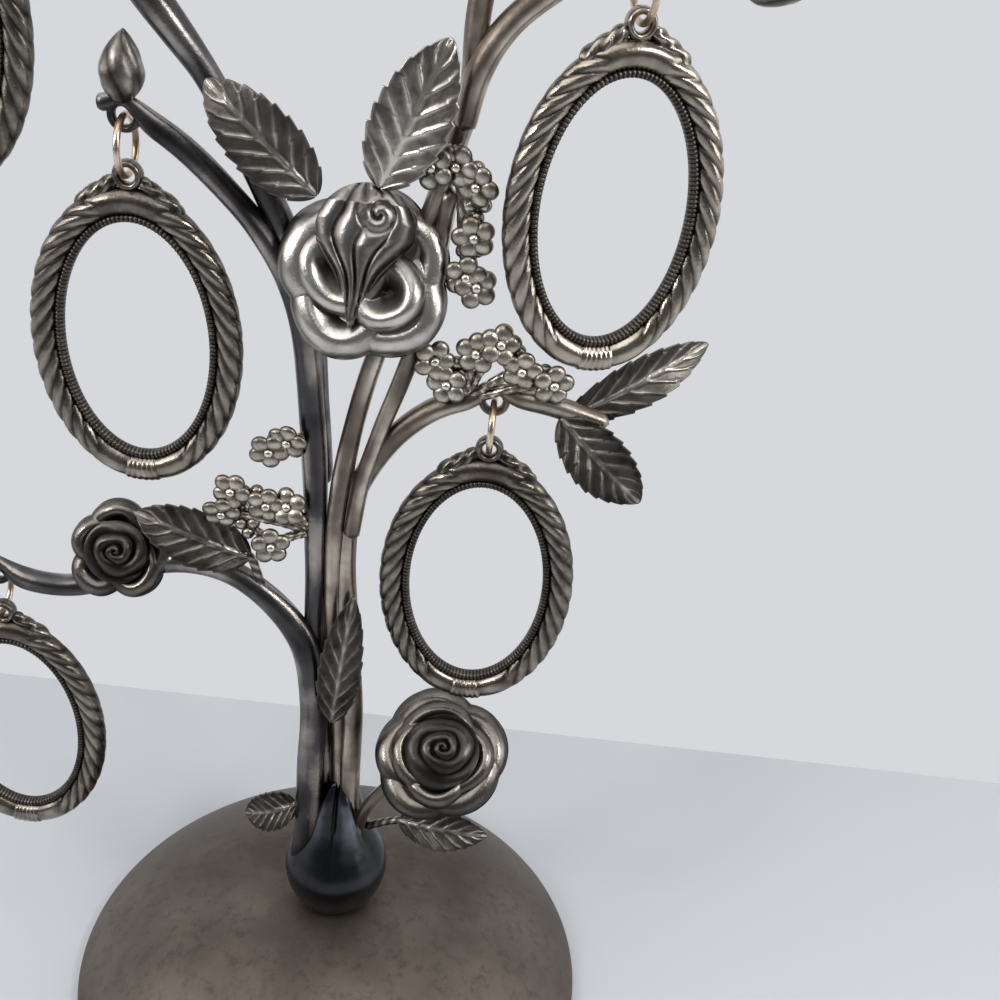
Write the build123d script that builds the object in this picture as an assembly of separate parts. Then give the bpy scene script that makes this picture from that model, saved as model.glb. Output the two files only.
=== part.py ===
from build123d import *
from math import cos, pi, radians, sin
import os

# A cast metal tree on a weighted round base, which carries small hanging oval photo frames.
# Lengths are in millimetres and angles in degrees. The front of the tree faces -Y.

# Overall sizes of the tree
tree_height = 302.0
tree_reach = 80.0
tree_depth = 10.0
stem_radius = 3.0

# Round base with its filling, felt and fixing screw
base_radius = 60.0
base_height = 25.0
base_edge_height = 2.4
base_land_radius = 9.0
shell_wall = 1.3
felt_thickness = 1.6
felt_inset = 2.6
dome_bow_share = 0.78

# Bulb at the foot of the tree
bulb_radius = 11.8
bulb_height = 25.0
bulb_foot_radius = 7.6
bulb_neck_radius = 7.4
bulb_waist_share = 0.5

# Screw that holds the bulb down on the base
screw_radius = 2.5
screw_reach = 12.0
screw_head_radius = 4.5
screw_head_height = 3.0
screw_slot_width = 1.2
washer_radius = 7.0
washer_thickness = 1.2
screw_gap = 0.3

# Hanging frames and their jump rings
frame_width = 39.0
frame_height = 57.0
frame_depth = 4.4
rim_width = 4.8
rim_round = 1.5
bezel_width = 1.3
bezel_lip = 1.0
bezel_depth = 2.6
rebate_width = 0.6
lug_height = 4.8
lug_half_foot = 7.5
lug_half_top = 1.6
lug_depth = 3.0
eye_radius = 1.4
eye_drop = 2.7
wrap_radius = 2.4
wrap_length = 5.0
wrap_set_share = 0.8
rope_grooves = 34
rope_groove_radius = 0.55
rope_groove_slant = 38.0
rope_groove_share = 1.6
ring_radius = 5.0
ring_wire_radius = 0.6
ring_gap_angle = 4.0
ring_gap_turn = 60.0

# Hanging holes in the branches
hole_radius = 1.5
hole_boss_radius = 2.9
hole_boss_depth = 2.4
hole_drop = 0.8
flat_radius = 3.4

# Leaves and petals
leaf_thickness = 1.1
leaf_fold = 0.24
leaf_bow = 2.0
leaf_stalk_radius = 0.9
leaf_width = 12.0
leaf_thin_share = 0.35
petal_thickness = 1.3

# Roses
rose_radius = 15.5
rose_depth = 9.0
rose_heart_radius = 6.0
bulge_share = 0.72
notch_share = 0.14
bud_radius = 4.2
bud_length = 13.0

# Small flowers of the sprays
flower_radius = 3.1
flower_petal_radius = 1.35
flower_petals = 5
flower_depth = 1.5
flower_eye_radius = 1.0
spray_stalk_radius = 0.8
spray_front = 2.4

# One overrun serves every cut
overrun = 2.0

# Stems, from root to tip: shares of reach, depth, rise above the base, and stem radius
stem_shares = {
    "stem_lower_left": [
        (-0.055, -0.10, 0.043, 1.07),
        (-0.077, -0.20, 0.083, 1.00),
        (-0.079, -0.20, 0.144, 1.00),
        (-0.074, -0.20, 0.209, 1.00),
        (-0.089, -0.15, 0.252, 1.00),
        (-0.134, -0.10, 0.280, 0.93),
        (-0.209, -0.05, 0.303, 0.87),
        (-0.301, 0.00, 0.319, 0.87),
        (-0.400, 0.00, 0.325, 0.90),
        (-0.505, 0.00, 0.319, 0.87),
        (-0.600, 0.00, 0.304, 0.80),
        (-0.700, 0.00, 0.292, 0.77),
        (-0.800, 0.00, 0.291, 0.77),
        (-0.900, 0.00, 0.300, 0.77),
        (-0.988, 0.00, 0.316, 0.53),
    ],
    "stem_left": [
        (-0.029, 0.25, 0.029, 0.87),
        (-0.041, 0.25, 0.094, 0.80),
        (-0.054, 0.20, 0.186, 0.80),
        (-0.077, 0.10, 0.263, 0.77),
        (-0.082, 0.05, 0.339, 0.77),
        (-0.086, 0.00, 0.397, 0.80),
        (-0.100, 0.00, 0.456, 0.80),
        (-0.118, 0.00, 0.508, 0.77),
        (-0.159, 0.00, 0.548, 0.73),
        (-0.223, 0.00, 0.579, 0.73),
        (-0.295, 0.00, 0.602, 0.70),
        (-0.375, 0.00, 0.623, 0.70),
        (-0.444, 0.00, 0.636, 0.70),
        (-0.503, 0.00, 0.643, 0.70),
        (-0.562, 0.00, 0.645, 0.53),
    ],
    "stem_lower_right": [
        (0.044, 0.00, 0.036, 0.80),
        (0.034, -0.05, 0.090, 0.77),
        (0.029, -0.05, 0.139, 0.77),
        (0.028, -0.05, 0.193, 0.77),
        (0.016, 0.00, 0.247, 0.77),
        (0.000, 0.05, 0.297, 0.77),
        (-0.009, 0.08, 0.342, 0.73),
        (0.001, 0.08, 0.384, 0.73),
        (0.041, 0.05, 0.417, 0.70),
        (0.111, 0.02, 0.448, 0.70),
        (0.205, 0.00, 0.471, 0.70),
        (0.324, 0.00, 0.482, 0.70),
        (0.419, 0.00, 0.482, 0.70),
        (0.509, 0.00, 0.477, 0.70),
        (0.595, 0.00, 0.471, 0.53),
    ],
    "stem_crown": [
        (0.009, 0.10, 0.032, 0.87),
        (0.006, 0.10, 0.092, 0.83),
        (-0.004, 0.10, 0.171, 0.80),
        (-0.022, 0.05, 0.245, 0.73),
        (-0.036, 0.00, 0.314, 0.67),
        (-0.030, -0.05, 0.379, 0.67),
        (-0.011, -0.05, 0.429, 0.63),
        (0.020, 0.00, 0.475, 0.60),
        (0.057, 0.05, 0.514, 0.60),
        (0.106, 0.05, 0.562, 0.60),
        (0.155, 0.05, 0.606, 0.60),
        (0.191, 0.05, 0.644, 0.60),
        (0.214, 0.05, 0.677, 0.67),
        (0.215, 0.05, 0.719, 0.70),
        (0.241, 0.00, 0.775, 0.70),
        (0.266, 0.00, 0.835, 0.70),
        (0.247, 0.00, 0.897, 0.70),
        (0.158, 0.00, 0.954, 0.70),
        (0.025, 0.00, 0.987, 0.70),
        (-0.125, 0.00, 0.992, 0.70),
        (-0.237, 0.00, 0.985, 0.53),
    ],
    "stem_upper_left": [
        (-0.075, 0.25, 0.393, 0.73),
        (-0.089, 0.25, 0.451, 0.73),
        (-0.104, 0.25, 0.504, 0.77),
        (-0.139, 0.20, 0.553, 0.80),
        (-0.205, 0.15, 0.599, 0.80),
        (-0.277, 0.10, 0.640, 0.77),
        (-0.330, 0.05, 0.668, 0.80),
        (-0.388, 0.00, 0.691, 0.93),
        (-0.455, 0.00, 0.715, 1.00),
        (-0.546, 0.00, 0.749, 0.87),
        (-0.637, 0.00, 0.789, 0.77),
        (-0.731, 0.00, 0.818, 0.73),
        (-0.825, 0.00, 0.832, 0.73),
        (-0.925, 0.00, 0.832, 0.70),
        (-1.012, 0.00, 0.819, 0.53),
    ],
    "stem_brace": [
        (0.006, -0.15, 0.362, 0.53),
        (0.028, -0.15, 0.408, 0.53),
        (0.065, -0.10, 0.449, 0.53),
        (0.107, -0.05, 0.487, 0.57),
        (0.144, 0.00, 0.526, 0.57),
        (0.170, -0.03, 0.575, 0.53),
        (0.188, -0.03, 0.619, 0.50),
    ],
    "stem_upper_right": [
        (0.205, -0.10, 0.653, 0.57),
        (0.224, -0.10, 0.686, 0.73),
        (0.269, -0.08, 0.711, 0.73),
        (0.336, -0.04, 0.731, 0.73),
        (0.435, 0.00, 0.751, 0.73),
        (0.535, 0.00, 0.762, 0.70),
        (0.637, 0.00, 0.763, 0.63),
        (0.730, 0.00, 0.752, 0.50),
    ],
    "stem_rose": [
        (0.056, -0.10, 0.076, 0.47),
        (0.081, -0.25, 0.108, 0.43),
        (0.138, -0.30, 0.137, 0.43),
        (0.206, -0.30, 0.157, 0.43),
        (0.263, -0.25, 0.168, 0.43),
    ],
}

# Frames: the stem each hangs from, which point of that stem, and its turn about the vertical
frame_places = {
    "lower_right": ("stem_lower_right", 11, 0.0),
    "upper_right": ("stem_upper_right", 5, 18.0),
    "middle_left": ("stem_left", 13, 0.0),
    "lower_left": ("stem_lower_left", 13, 0.0),
    "top_left": ("stem_upper_left", 13, 0.0),
    "top_centre": ("stem_crown", 19, 0.0),
}

# Leaves: base and tip as shares of reach, depth and rise, then width as a share of leaf_width,
# and the forward lean of the face
leaf_places = {
    "leaf_upper_left": ((-0.089, -0.32, 0.607), (-0.324, -0.25, 0.668), 1.00, 0.3),
    "leaf_upper_right": ((0.041, -0.30, 0.616), (0.170, -0.30, 0.706), 1.08, 0.0),
    "leaf_trunk": ((-0.020, -0.34, 0.199), (0.022, -0.26, 0.315), 0.75, 0.0),
    "leaf_right_long": ((0.500, 0.15, 0.470), (0.812, 1.30, 0.518), 0.75, 0.2),
    "leaf_right_lower": ((0.480, -0.10, 0.474), (0.690, -0.40, 0.422), 0.95, 0.2),
    "leaf_lower_left": ((-0.240, -0.20, 0.338), (-0.517, -0.35, 0.369), 0.95, 0.5),
    "leaf_base_left": ((-0.116, -0.10, 0.100), (-0.261, -0.20, 0.088), 0.75, 0.5),
    "leaf_base_right": ((0.176, -0.20, 0.098), (0.431, -0.40, 0.099), 0.75, 0.6),
    "leaf_crown": ((0.263, 0.00, 0.856), (0.475, -0.20, 0.928), 1.00, 0.2),
    "leaf_far_right": ((0.613, 0.00, 0.763), (0.750, -0.20, 0.830), 0.90, 0.2),
    "leaf_top_left": ((-0.625, 0.00, 0.783), (-0.725, -0.20, 0.877), 1.00, 0.2),
}

# Where the stalk of a leaf springs from, for the leaves that stand off the stems
leaf_root_shares = {
    "leaf_lower_left": (-0.209, -0.05, 0.303),
    "leaf_base_left": (-0.080, 0.00, 0.082),
    "leaf_base_right": (0.085, 0.00, 0.080),
}

# Outline of a leaf: shares of its length and of its half width
leaf_outline_shares = [(0.0, 0.14), (0.12, 0.55), (0.3, 0.93), (0.5, 1.0), (0.7, 0.78), (0.88, 0.4), (1.0, 0.05)]

# Roses: place, upward tilt, size as a share of rose_radius
rose_places = {
    "rose_centre": ((0.016, -0.15, 0.560), 15.0, 1.0),
    "rose_lower_right": ((0.275, -0.19, 0.171), 50.0, 0.96),
    "rose_left": ((-0.575, 0.00, 0.327), 25.0, 0.7),
}

# Rings of petals: layer, notches, radius share, rim share of the depth, first angle
outer_petals = (0, 5, 1.0, 0.50, 18.0)
middle_petals = (1, 4, 0.68, 0.82, 60.0)
heart_layer = 2

# Roses small enough to have one ring of petals
single_roses = ("rose_left",)

# Half outline of a rose's heart: shares of its radius and of its height, with two folded rings
heart_outline_shares = [(0.55, 0.0), (1.0, 0.55), (0.86, 0.9), (0.66, 0.72), (0.5, 1.0), (0.26, 0.84), (0.0, 0.94)]

# Buds: place and pointing direction, size share
bud_places = {
    "bud_left": ((-0.510, 0.00, 0.648), (0.1, 0.0, 1.0), 0.9),
    "bud_top_left": ((-0.988, 0.00, 0.823), (-1.0, 0.0, -0.3), 0.85),
    "bud_crown": ((-0.219, 0.00, 0.987), (-1.0, 0.0, -0.2), 0.85),
    "bud_far_right": ((0.713, 0.00, 0.755), (1.0, 0.0, -0.3), 0.8),
    "bud_far_left": ((-0.975, 0.00, 0.313), (-0.8, 0.0, 0.6), 0.85),
}

# Outline of a bud: shares of its length and of its radius
bud_outline_shares = [(0.0, 0.45), (0.2, 0.85), (0.42, 1.0), (0.68, 0.72), (0.88, 0.34), (1.0, 0.0)]

# Sprays: where the stalk leaves its stem, then the flowers, as shares of reach and rise
spray_places = {
    "spray_right_upper": (
        (0.194, 0.00, 0.643),
        [(0.150, 0.632), (0.202, 0.635), (0.246, 0.624), (0.245, 0.592), (0.234, 0.567), (0.258, 0.560)],
    ),
    "spray_right_lower": (
        (0.250, 0.00, 0.476),
        [(0.180, 0.508), (0.216, 0.492), (0.275, 0.516), (0.324, 0.523), (0.380, 0.508), (0.451, 0.500)],
    ),
    "spray_left_upper": (
        (-0.094, 0.00, 0.433),
        [(-0.193, 0.429), (-0.145, 0.438)],
    ),
    "spray_left_lower": (
        (-0.087, 0.00, 0.361),
        [(-0.281, 0.394), (-0.200, 0.386), (-0.144, 0.385), (-0.309, 0.376), (-0.189, 0.352)],
    ),
}

rise = tree_height - base_height
os.makedirs("parts", exist_ok=True)


def spot(x_share, y_share, z_share):
    """A place in the tree from its shares of reach, depth and rise above the base."""
    return Vector(tree_reach * x_share, tree_depth * y_share, base_height + rise * z_share)


def write(name, solid):
    """Save one node."""
    export_step(solid, os.path.join("parts", name + ".step"))


def boxes_meet(a, b):
    """True where the boxes of two solids overlap."""
    p = a.bounding_box()
    q = b.bounding_box()
    apart_x = p.max.X < q.min.X or q.max.X < p.min.X
    apart_y = p.max.Y < q.min.Y or q.max.Y < p.min.Y
    apart_z = p.max.Z < q.min.Z or q.max.Z < p.min.Z
    return not (apart_x or apart_y or apart_z)


def main_solid(shape):
    """The largest solid of a shape."""
    return max(shape.solids(), key=lambda s: s.volume)


def seat(piece, carriers):
    """Cut a piece where it meets the pieces that carry it, so that it sits on their surface."""
    for carrier in carriers:
        if boxes_meet(piece, carrier):
            piece = main_solid(piece - carrier)
    return piece


# Base: spun shell, poured filling, felt, screw and washer

def dome_half_outline(drop):
    """Top of the dome from its land to its edge, lowered by a wall."""
    land_height = base_height - drop
    edge_radius = base_radius - drop
    mid_radius = (base_land_radius + edge_radius) / 2
    mid_height = base_edge_height + (land_height - base_edge_height) * dome_bow_share
    return (
        (base_land_radius, land_height),
        (mid_radius, mid_height),
        (edge_radius, base_edge_height),
    )


def spun(points_and_arc, bottom, bore):
    """Revolve the space under a dome line down to a level, with a bore in the middle."""
    land, middle, edge = points_and_arc
    with BuildPart() as part:
        with BuildSketch(Plane.XZ):
            with BuildLine():
                Line((bore, bottom), (bore, land[1]))
                Line((bore, land[1]), land)
                ThreePointArc(land, middle, edge)
                Line(edge, (edge[0], bottom))
                Line((edge[0], bottom), (bore, bottom))
            make_face()
        revolve(axis=Axis.Z)
    return part.part


def base_shell():
    whole = spun(dome_half_outline(0), screw_gap, screw_radius + screw_gap)
    hollow = spun(dome_half_outline(shell_wall), screw_gap - overrun, screw_radius)
    return main_solid(whole - hollow)


def base_filling():
    filling = spun(dome_half_outline(shell_wall), felt_thickness, screw_radius + screw_gap)
    pocket_depth = screw_head_height + washer_thickness
    pocket = Cylinder(
        washer_radius + screw_gap,
        pocket_depth + screw_gap,
        align=(Align.CENTER, Align.CENTER, Align.MIN),
    )
    return main_solid(filling - Pos(0, 0, felt_thickness) * pocket)


def base_felt():
    felt = Cylinder(base_radius - felt_inset, felt_thickness, align=(Align.CENTER, Align.CENTER, Align.MIN))
    return main_solid(felt)


def washer_level():
    """Height of the washer's lower face."""
    return felt_thickness + screw_gap + screw_head_height


def base_washer():
    ring = Cylinder(washer_radius, washer_thickness, align=(Align.CENTER, Align.CENTER, Align.MIN))
    ring -= Cylinder(screw_radius + screw_gap, 2 * washer_thickness + overrun)
    return main_solid(Pos(0, 0, washer_level()) * ring)


def base_screw():
    head = Cylinder(screw_head_radius, screw_head_height, align=(Align.CENTER, Align.CENTER, Align.MIN))
    shank_length = base_height + screw_reach - washer_level()
    shank = Cylinder(screw_radius, shank_length, align=(Align.CENTER, Align.CENTER, Align.MIN))
    slot = Box(2 * screw_head_radius + overrun, screw_slot_width, screw_head_height)
    body = Pos(0, 0, washer_level() - screw_head_height) * head
    body += Pos(0, 0, washer_level()) * shank
    body -= Pos(0, 0, washer_level() - screw_head_height) * slot
    return main_solid(body)


def trunk_bulb():
    """Turned bulb with a threaded hole for the base screw."""
    waist = bulb_height * bulb_waist_share
    with BuildPart() as part:
        with BuildSketch(Plane.XZ):
            with BuildLine():
                Line((0, 0), (bulb_foot_radius, 0))
                Spline(
                    (bulb_foot_radius, 0),
                    (bulb_radius, waist),
                    (bulb_neck_radius, bulb_height),
                )
                Line((bulb_neck_radius, bulb_height), (0, bulb_height))
                Line((0, bulb_height), (0, 0))
            make_face()
        revolve(axis=Axis.Z)
    bulb = Pos(0, 0, base_height) * part.part
    thread = Cylinder(screw_radius, screw_reach * 2)
    return main_solid(bulb - Pos(0, 0, base_height) * thread)


# Stems: lofts through circles that stand square to the line of the stem

def stem_points(name):
    return [spot(x, y, z) for x, y, z, r in stem_shares[name]]


def stem(name):
    shares = stem_shares[name]
    points = stem_points(name)
    rings = []
    for i, point in enumerate(points):
        before = points[max(i - 1, 0)]
        after = points[min(i + 1, len(points) - 1)]
        heading = (after - before).normalized()
        across = (Vector(0, 1, 0) - heading * heading.Y).normalized()
        plane = Plane(origin=point, x_dir=across, z_dir=heading)
        rings.append(plane * Circle(stem_radius * shares[i][3]))
    return main_solid(loft(rings, ruled=True))


def hang_point(frame_name):
    """Centre of the hole that a frame hangs from."""
    stem_name, index, turn = frame_places[frame_name]
    return stem_points(stem_name)[index] - Vector(0, 0, hole_drop)


def along_y(point, turn):
    """A plane at a point whose normal runs front to back, turned about the vertical."""
    angle = radians(turn)
    return Plane(origin=point, x_dir=(cos(angle), sin(angle), 0), z_dir=(sin(angle), -cos(angle), 0))


def drill_for_ring(piece, frame_name):
    """Flatten a stem front and back at its hanging hole, leave a boss, and drill it."""
    place = along_y(hang_point(frame_name), frame_places[frame_name][2])
    flat = Cylinder(flat_radius, overrun * 2, align=(Align.CENTER, Align.CENTER, Align.MIN))
    front = Pos(0, 0, hole_boss_depth / 2) * flat
    back = Pos(0, 0, -hole_boss_depth / 2 - overrun * 2) * flat
    piece = piece - (place * front) - (place * back)
    piece = piece + place * Cylinder(hole_boss_radius, hole_boss_depth)
    piece = piece - place * Cylinder(hole_radius, hole_boss_depth + overrun)
    return main_solid(piece)


# Leaves and petals: lofts through thin sections

def blade(length, width, outline, bow, fold, thickness):
    """A thin tapered blade along +X, folded up at its edges and bowed along its length."""
    faces = []
    for along, half in outline:
        reach = width / 2 * half
        lift = bow * sin(pi * along)
        rim = fold * reach
        wall = thickness * (leaf_thin_share + (1 - leaf_thin_share) * half)
        section = Polyline(
            (-reach, rim),
            (0, wall / 2),
            (reach, rim),
            (0, -wall / 2),
            close=True,
        )
        plane = Plane(origin=(length * along, 0, lift), x_dir=(0, 1, 0), z_dir=(1, 0, 0))
        faces.append(plane * make_face(section))
    return loft(faces, ruled=True)


def leaf(name):
    base_shares, tip_shares, width_share, lean = leaf_places[name]
    base = spot(*base_shares)
    tip = spot(*tip_shares)
    span = tip - base
    heading = span.normalized()
    facing = Vector(0, -1, lean)
    normal = (facing - heading * facing.dot(heading)).normalized()
    flat = blade(span.length, leaf_width * width_share, leaf_outline_shares, leaf_bow, leaf_fold, leaf_thickness)
    body = Plane(origin=base, x_dir=heading, z_dir=normal) * flat
    if name in leaf_root_shares:
        root = spot(*leaf_root_shares[name])
        body = body + stalk(root, base + heading * leaf_stalk_radius * 2, leaf_stalk_radius)
    return main_solid(body)


def stalk(start, end, radius):
    """A thin round rod between two points."""
    span = end - start
    plane = Plane(origin=start, z_dir=span.normalized())
    return plane * Cylinder(radius, span.length, align=(Align.CENTER, Align.CENTER, Align.MIN))


def rose_plane(name):
    place_shares, tilt, size = rose_places[name]
    angle = radians(tilt)
    return Plane(origin=spot(*place_shares), x_dir=(1, 0, 0), z_dir=(0, -cos(angle), sin(angle)))


def petal_bowl(name, ring):
    """A thin open bowl whose rim is notched into petals."""
    place_shares, tilt, size = rose_places[name]
    layer, notches, radius_share, rim_share, start = ring
    reach = rose_radius * size * radius_share
    wall = petal_thickness * size
    floor = wall * layer
    rim = rose_depth * size * rim_share
    seat_radius = rose_heart_radius * size * radius_share
    with BuildPart() as part:
        with BuildSketch(Plane.XZ):
            with BuildLine():
                Line((0, floor), (seat_radius, floor))
                ThreePointArc((seat_radius, floor), (reach * bulge_share, (floor + rim) / 2 - wall), (reach, rim - wall))
                Line((reach, rim - wall), (reach - wall, rim))
                ThreePointArc((reach - wall, rim), (reach * bulge_share - wall, (floor + rim) / 2), (seat_radius, floor + wall))
                Line((seat_radius, floor + wall), (0, floor + wall))
                Line((0, floor + wall), (0, floor))
            make_face()
        revolve(axis=Axis.Z)
    notch = Cylinder(reach * notch_share, rose_depth * 2)
    cutters = []
    for i in range(notches):
        cutters.append(Rot(0, 0, start + 360 / notches * i) * (Pos(reach, 0, rim) * notch))
    return main_solid(rose_plane(name) * (part.part - cutters))


def rose_heart(name):
    """Tightly folded middle of a rose."""
    size = rose_places[name][2]
    floor = petal_thickness * size * heart_layer
    height = rose_depth * size - floor
    radius = rose_heart_radius * size
    outline = [(radius * r, floor + height * h) for r, h in heart_outline_shares]
    with BuildPart() as part:
        with BuildSketch(Plane.XZ):
            with BuildLine():
                Polyline((0, floor), *outline, (0, floor))
            make_face()
        revolve(axis=Axis.Z)
    return main_solid(rose_plane(name) * part.part)


def bud(name):
    place_shares, pointing, size = bud_places[name]
    half = [(bud_radius * size * r, bud_length * size * h) for h, r in bud_outline_shares]
    with BuildPart() as part:
        with BuildSketch(Plane.XZ):
            with BuildLine():
                Line((0, 0), half[0])
                Spline(*half)
                Line(half[-1], (0, 0))
            make_face()
        revolve(axis=Axis.Z)
    plane = Plane(origin=spot(*place_shares), z_dir=Vector(*pointing).normalized())
    return main_solid(plane * part.part)


# Sprays of small five-petal flowers on thin stalks

def flower():
    """One flower that faces +Z, with round petals and a domed eye."""
    disc = Circle(flower_radius - flower_petal_radius)
    for i in range(flower_petals):
        angle = 2 * pi * i / flower_petals
        out = flower_radius - flower_petal_radius
        disc += Pos(out * cos(angle), out * sin(angle)) * Circle(flower_petal_radius)
    body = extrude(disc, flower_depth)
    return body + Pos(0, 0, flower_depth) * Sphere(flower_eye_radius)


def spray(name):
    root_shares, flower_shares = spray_places[name]
    root = spot(*root_shares)
    bloom = flower()
    body = None
    for x_share, z_share in flower_shares:
        centre = spot(x_share, 0, z_share) - Vector(0, spray_front, 0)
        twig = stalk(root, centre, spray_stalk_radius)
        placed = Plane(origin=centre, x_dir=(1, 0, 0), z_dir=(0, -1, 0)) * bloom
        body = twig + placed if body is None else body + twig + placed
    return main_solid(body)


# Frames: a rope-edged oval rim with an eye lug, and a bezel that holds the picture

def oval(inset, depth):
    """An upright oval plate, centred on Y = 0, smaller all round by an inset."""
    face = Plane.XZ * Ellipse(frame_width / 2 - inset, frame_height / 2 - inset)
    return extrude(face, depth / 2, both=True)


def rim_grooves():
    """Slanting cutters round the front of the rim, like the lay of a rope."""
    cutters = []
    half_wide = (frame_width - rim_width) / 2
    half_high = (frame_height - rim_width) / 2
    for i in range(rope_grooves):
        angle = 2 * pi * (i + 0.5) / rope_grooves
        place = Vector(half_wide * cos(angle), -frame_depth / 2, half_high * sin(angle))
        outward = Vector(half_high * cos(angle), 0, half_wide * sin(angle)).normalized()
        lay = outward.rotate(Axis.Y, rope_groove_slant)
        plane = Plane(origin=place, z_dir=lay)
        cutters.append(plane * Cylinder(rope_groove_radius, rim_width * rope_groove_share))
    return cutters


def frame_rim():
    """Rim with its top lug and bottom wrap, centred on the oval."""
    rim = oval(0, frame_depth) - oval(rim_width, frame_depth + overrun)
    rim = fillet(rim.edges(), rim_round)
    top = frame_height / 2
    with BuildSketch(Plane.XZ) as lug_face:
        with BuildLine():
            Polyline(
                (-lug_half_foot, top - rim_width / 2),
                (-lug_half_top, top + lug_height),
                (lug_half_top, top + lug_height),
                (lug_half_foot, top - rim_width / 2),
                close=True,
            )
        make_face()
    lug = extrude(lug_face.sketch, lug_depth / 2, both=True)
    wrap = Pos(0, 0, -top + wrap_radius * wrap_set_share) * Rot(0, 90, 0) * Cylinder(wrap_radius, wrap_length)
    inside = oval(rim_width, frame_depth * 2)
    rim = rim + (lug - inside) + (wrap - inside)
    eye = along_y(Vector(0, 0, eye_height()), 0) * Cylinder(eye_radius, lug_depth + overrun)
    rim = rim - eye
    return main_solid(rim - rim_grooves())


def eye_height():
    """Height of the eye above the centre of the oval."""
    return frame_height / 2 + lug_height - eye_drop


def frame_bezel():
    """Inner strip with a front lip and a rebate behind it for the picture."""
    bezel = oval(rim_width, bezel_depth) - oval(rim_width + bezel_width, bezel_depth + overrun)
    rebate = Pos(0, bezel_lip, 0) * oval(rim_width + bezel_width - rebate_width, bezel_depth)
    return main_solid(bezel - rebate)


def jump_ring():
    """Round wire ring in the YZ plane, with its closing gap, hung from its own top."""
    section = Plane.XZ * Circle(ring_wire_radius)
    section = Pos(ring_radius, 0, 0) * section
    wire = revolve(section, Axis.Z, 360 - ring_gap_angle)
    standing = Rot(0, 90, 0) * (Rot(0, 0, ring_gap_turn) * wire)
    return main_solid(Pos(0, 0, -ring_radius) * standing)


def hung(piece, frame_name, drop):
    """Place a piece below a frame's hanging hole."""
    turn = frame_places[frame_name][2]
    return Pos(*(hang_point(frame_name) - Vector(0, 0, drop))) * (Rot(0, 0, turn) * piece)


# Build the standing part

standing = {}
standing["base_shell"] = base_shell()
standing["base_filling"] = base_filling()
standing["base_felt"] = base_felt()
standing["base_washer"] = base_washer()
standing["base_screw"] = base_screw()
standing["trunk_bulb"] = trunk_bulb()

tree = [standing["trunk_bulb"]]
for name in stem_shares:
    piece = seat(stem(name), tree)
    for frame_name, (stem_name, index, turn) in frame_places.items():
        if stem_name == name:
            piece = drill_for_ring(piece, frame_name)
    standing[name] = piece
    tree.append(piece)

for name in rose_places:
    standing[name + "_outer_petals"] = seat(petal_bowl(name, outer_petals), tree)
    if name not in single_roses:
        standing[name + "_middle_petals"] = seat(petal_bowl(name, middle_petals), tree)
    standing[name + "_heart"] = seat(rose_heart(name), tree)
    tree.append(standing[name + "_outer_petals"])

for name in bud_places:
    standing[name] = seat(bud(name), tree)
    tree.append(standing[name])

for name in leaf_places:
    standing[name] = seat(leaf(name), tree)
    tree.append(standing[name])

for name in spray_places:
    standing[name] = seat(spray(name), tree)
    tree.append(standing[name])

for name, piece in standing.items():
    write(name, piece)

# Build the rings and frames once and hang a copy at each place

rim = frame_rim()
bezel = frame_bezel()
ring = jump_ring()
frame_drop = 2 * ring_radius + eye_height()
for frame_name in frame_places:
    write("jump_ring_" + frame_name, hung(ring, frame_name, 0))
    write("frame_rim_" + frame_name, hung(rim, frame_name, frame_drop))
    write("frame_bezel_" + frame_name, hung(bezel, frame_name, frame_drop))
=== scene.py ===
# %% [markdown]
# # A cast photo tree with hanging oval frames
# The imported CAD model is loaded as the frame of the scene.
# Each visible piece is then drawn again as a finer surface that rides on the same body.

# %% Load the frame
import bpy
import numpy as np
from mathutils import Matrix


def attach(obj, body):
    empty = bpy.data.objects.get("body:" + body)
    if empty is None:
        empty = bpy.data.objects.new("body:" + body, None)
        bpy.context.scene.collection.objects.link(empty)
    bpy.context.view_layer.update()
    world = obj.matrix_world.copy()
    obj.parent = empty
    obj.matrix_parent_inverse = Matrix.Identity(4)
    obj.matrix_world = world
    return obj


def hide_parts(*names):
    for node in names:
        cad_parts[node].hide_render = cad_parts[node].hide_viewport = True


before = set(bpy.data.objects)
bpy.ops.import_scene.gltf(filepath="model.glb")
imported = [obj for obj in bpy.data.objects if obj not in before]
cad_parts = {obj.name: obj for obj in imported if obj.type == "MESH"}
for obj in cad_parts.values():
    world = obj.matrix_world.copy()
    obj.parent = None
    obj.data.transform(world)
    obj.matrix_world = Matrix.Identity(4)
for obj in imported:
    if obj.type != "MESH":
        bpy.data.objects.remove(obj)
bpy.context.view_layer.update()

# %% [markdown]
# ## Surfaces from grids
# Every surface is a grid of points, computed at once with numpy in millimetres.
# A grid can close on itself across its rows, like the wall of a tube, and along them, like a ring.
# Each point also has a wear value from 0, deep in a hollow, to 1, on a rubbed ridge. On the bulb and the upper
# right frame it also holds a painted highlight.

# %% Grids, meshes and pieces
mm = 0.001


def grid_faces(rows, cols, ring):
    """Four-sided faces between neighbouring rows and columns. Columns always close on themselves."""
    i, j = np.meshgrid(np.arange(rows if ring else rows - 1), np.arange(cols), indexing="ij")
    right = (j + 1) % cols
    below = (i + 1) % rows
    corners = [i * cols + j, i * cols + right, below * cols + right, below * cols + j]
    return np.stack(corners, axis=-1).reshape(-1, 4)


def surface(grid, wear_and_highlight=0.5, ring=False):
    """A surface from a grid of points: its points, faces, end caps and wear, which can hold a painted
    highlight.
    """
    rows, cols = grid.shape[:2]
    faces = grid_faces(rows, cols, ring)
    first = np.arange(cols)[::-1]
    last = np.arange(cols) + (rows - 1) * cols
    caps = [] if ring else [first, last]
    return grid.reshape(-1, 3), faces, caps, np.broadcast_to(wear_and_highlight, (rows, cols)).reshape(-1)


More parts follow.
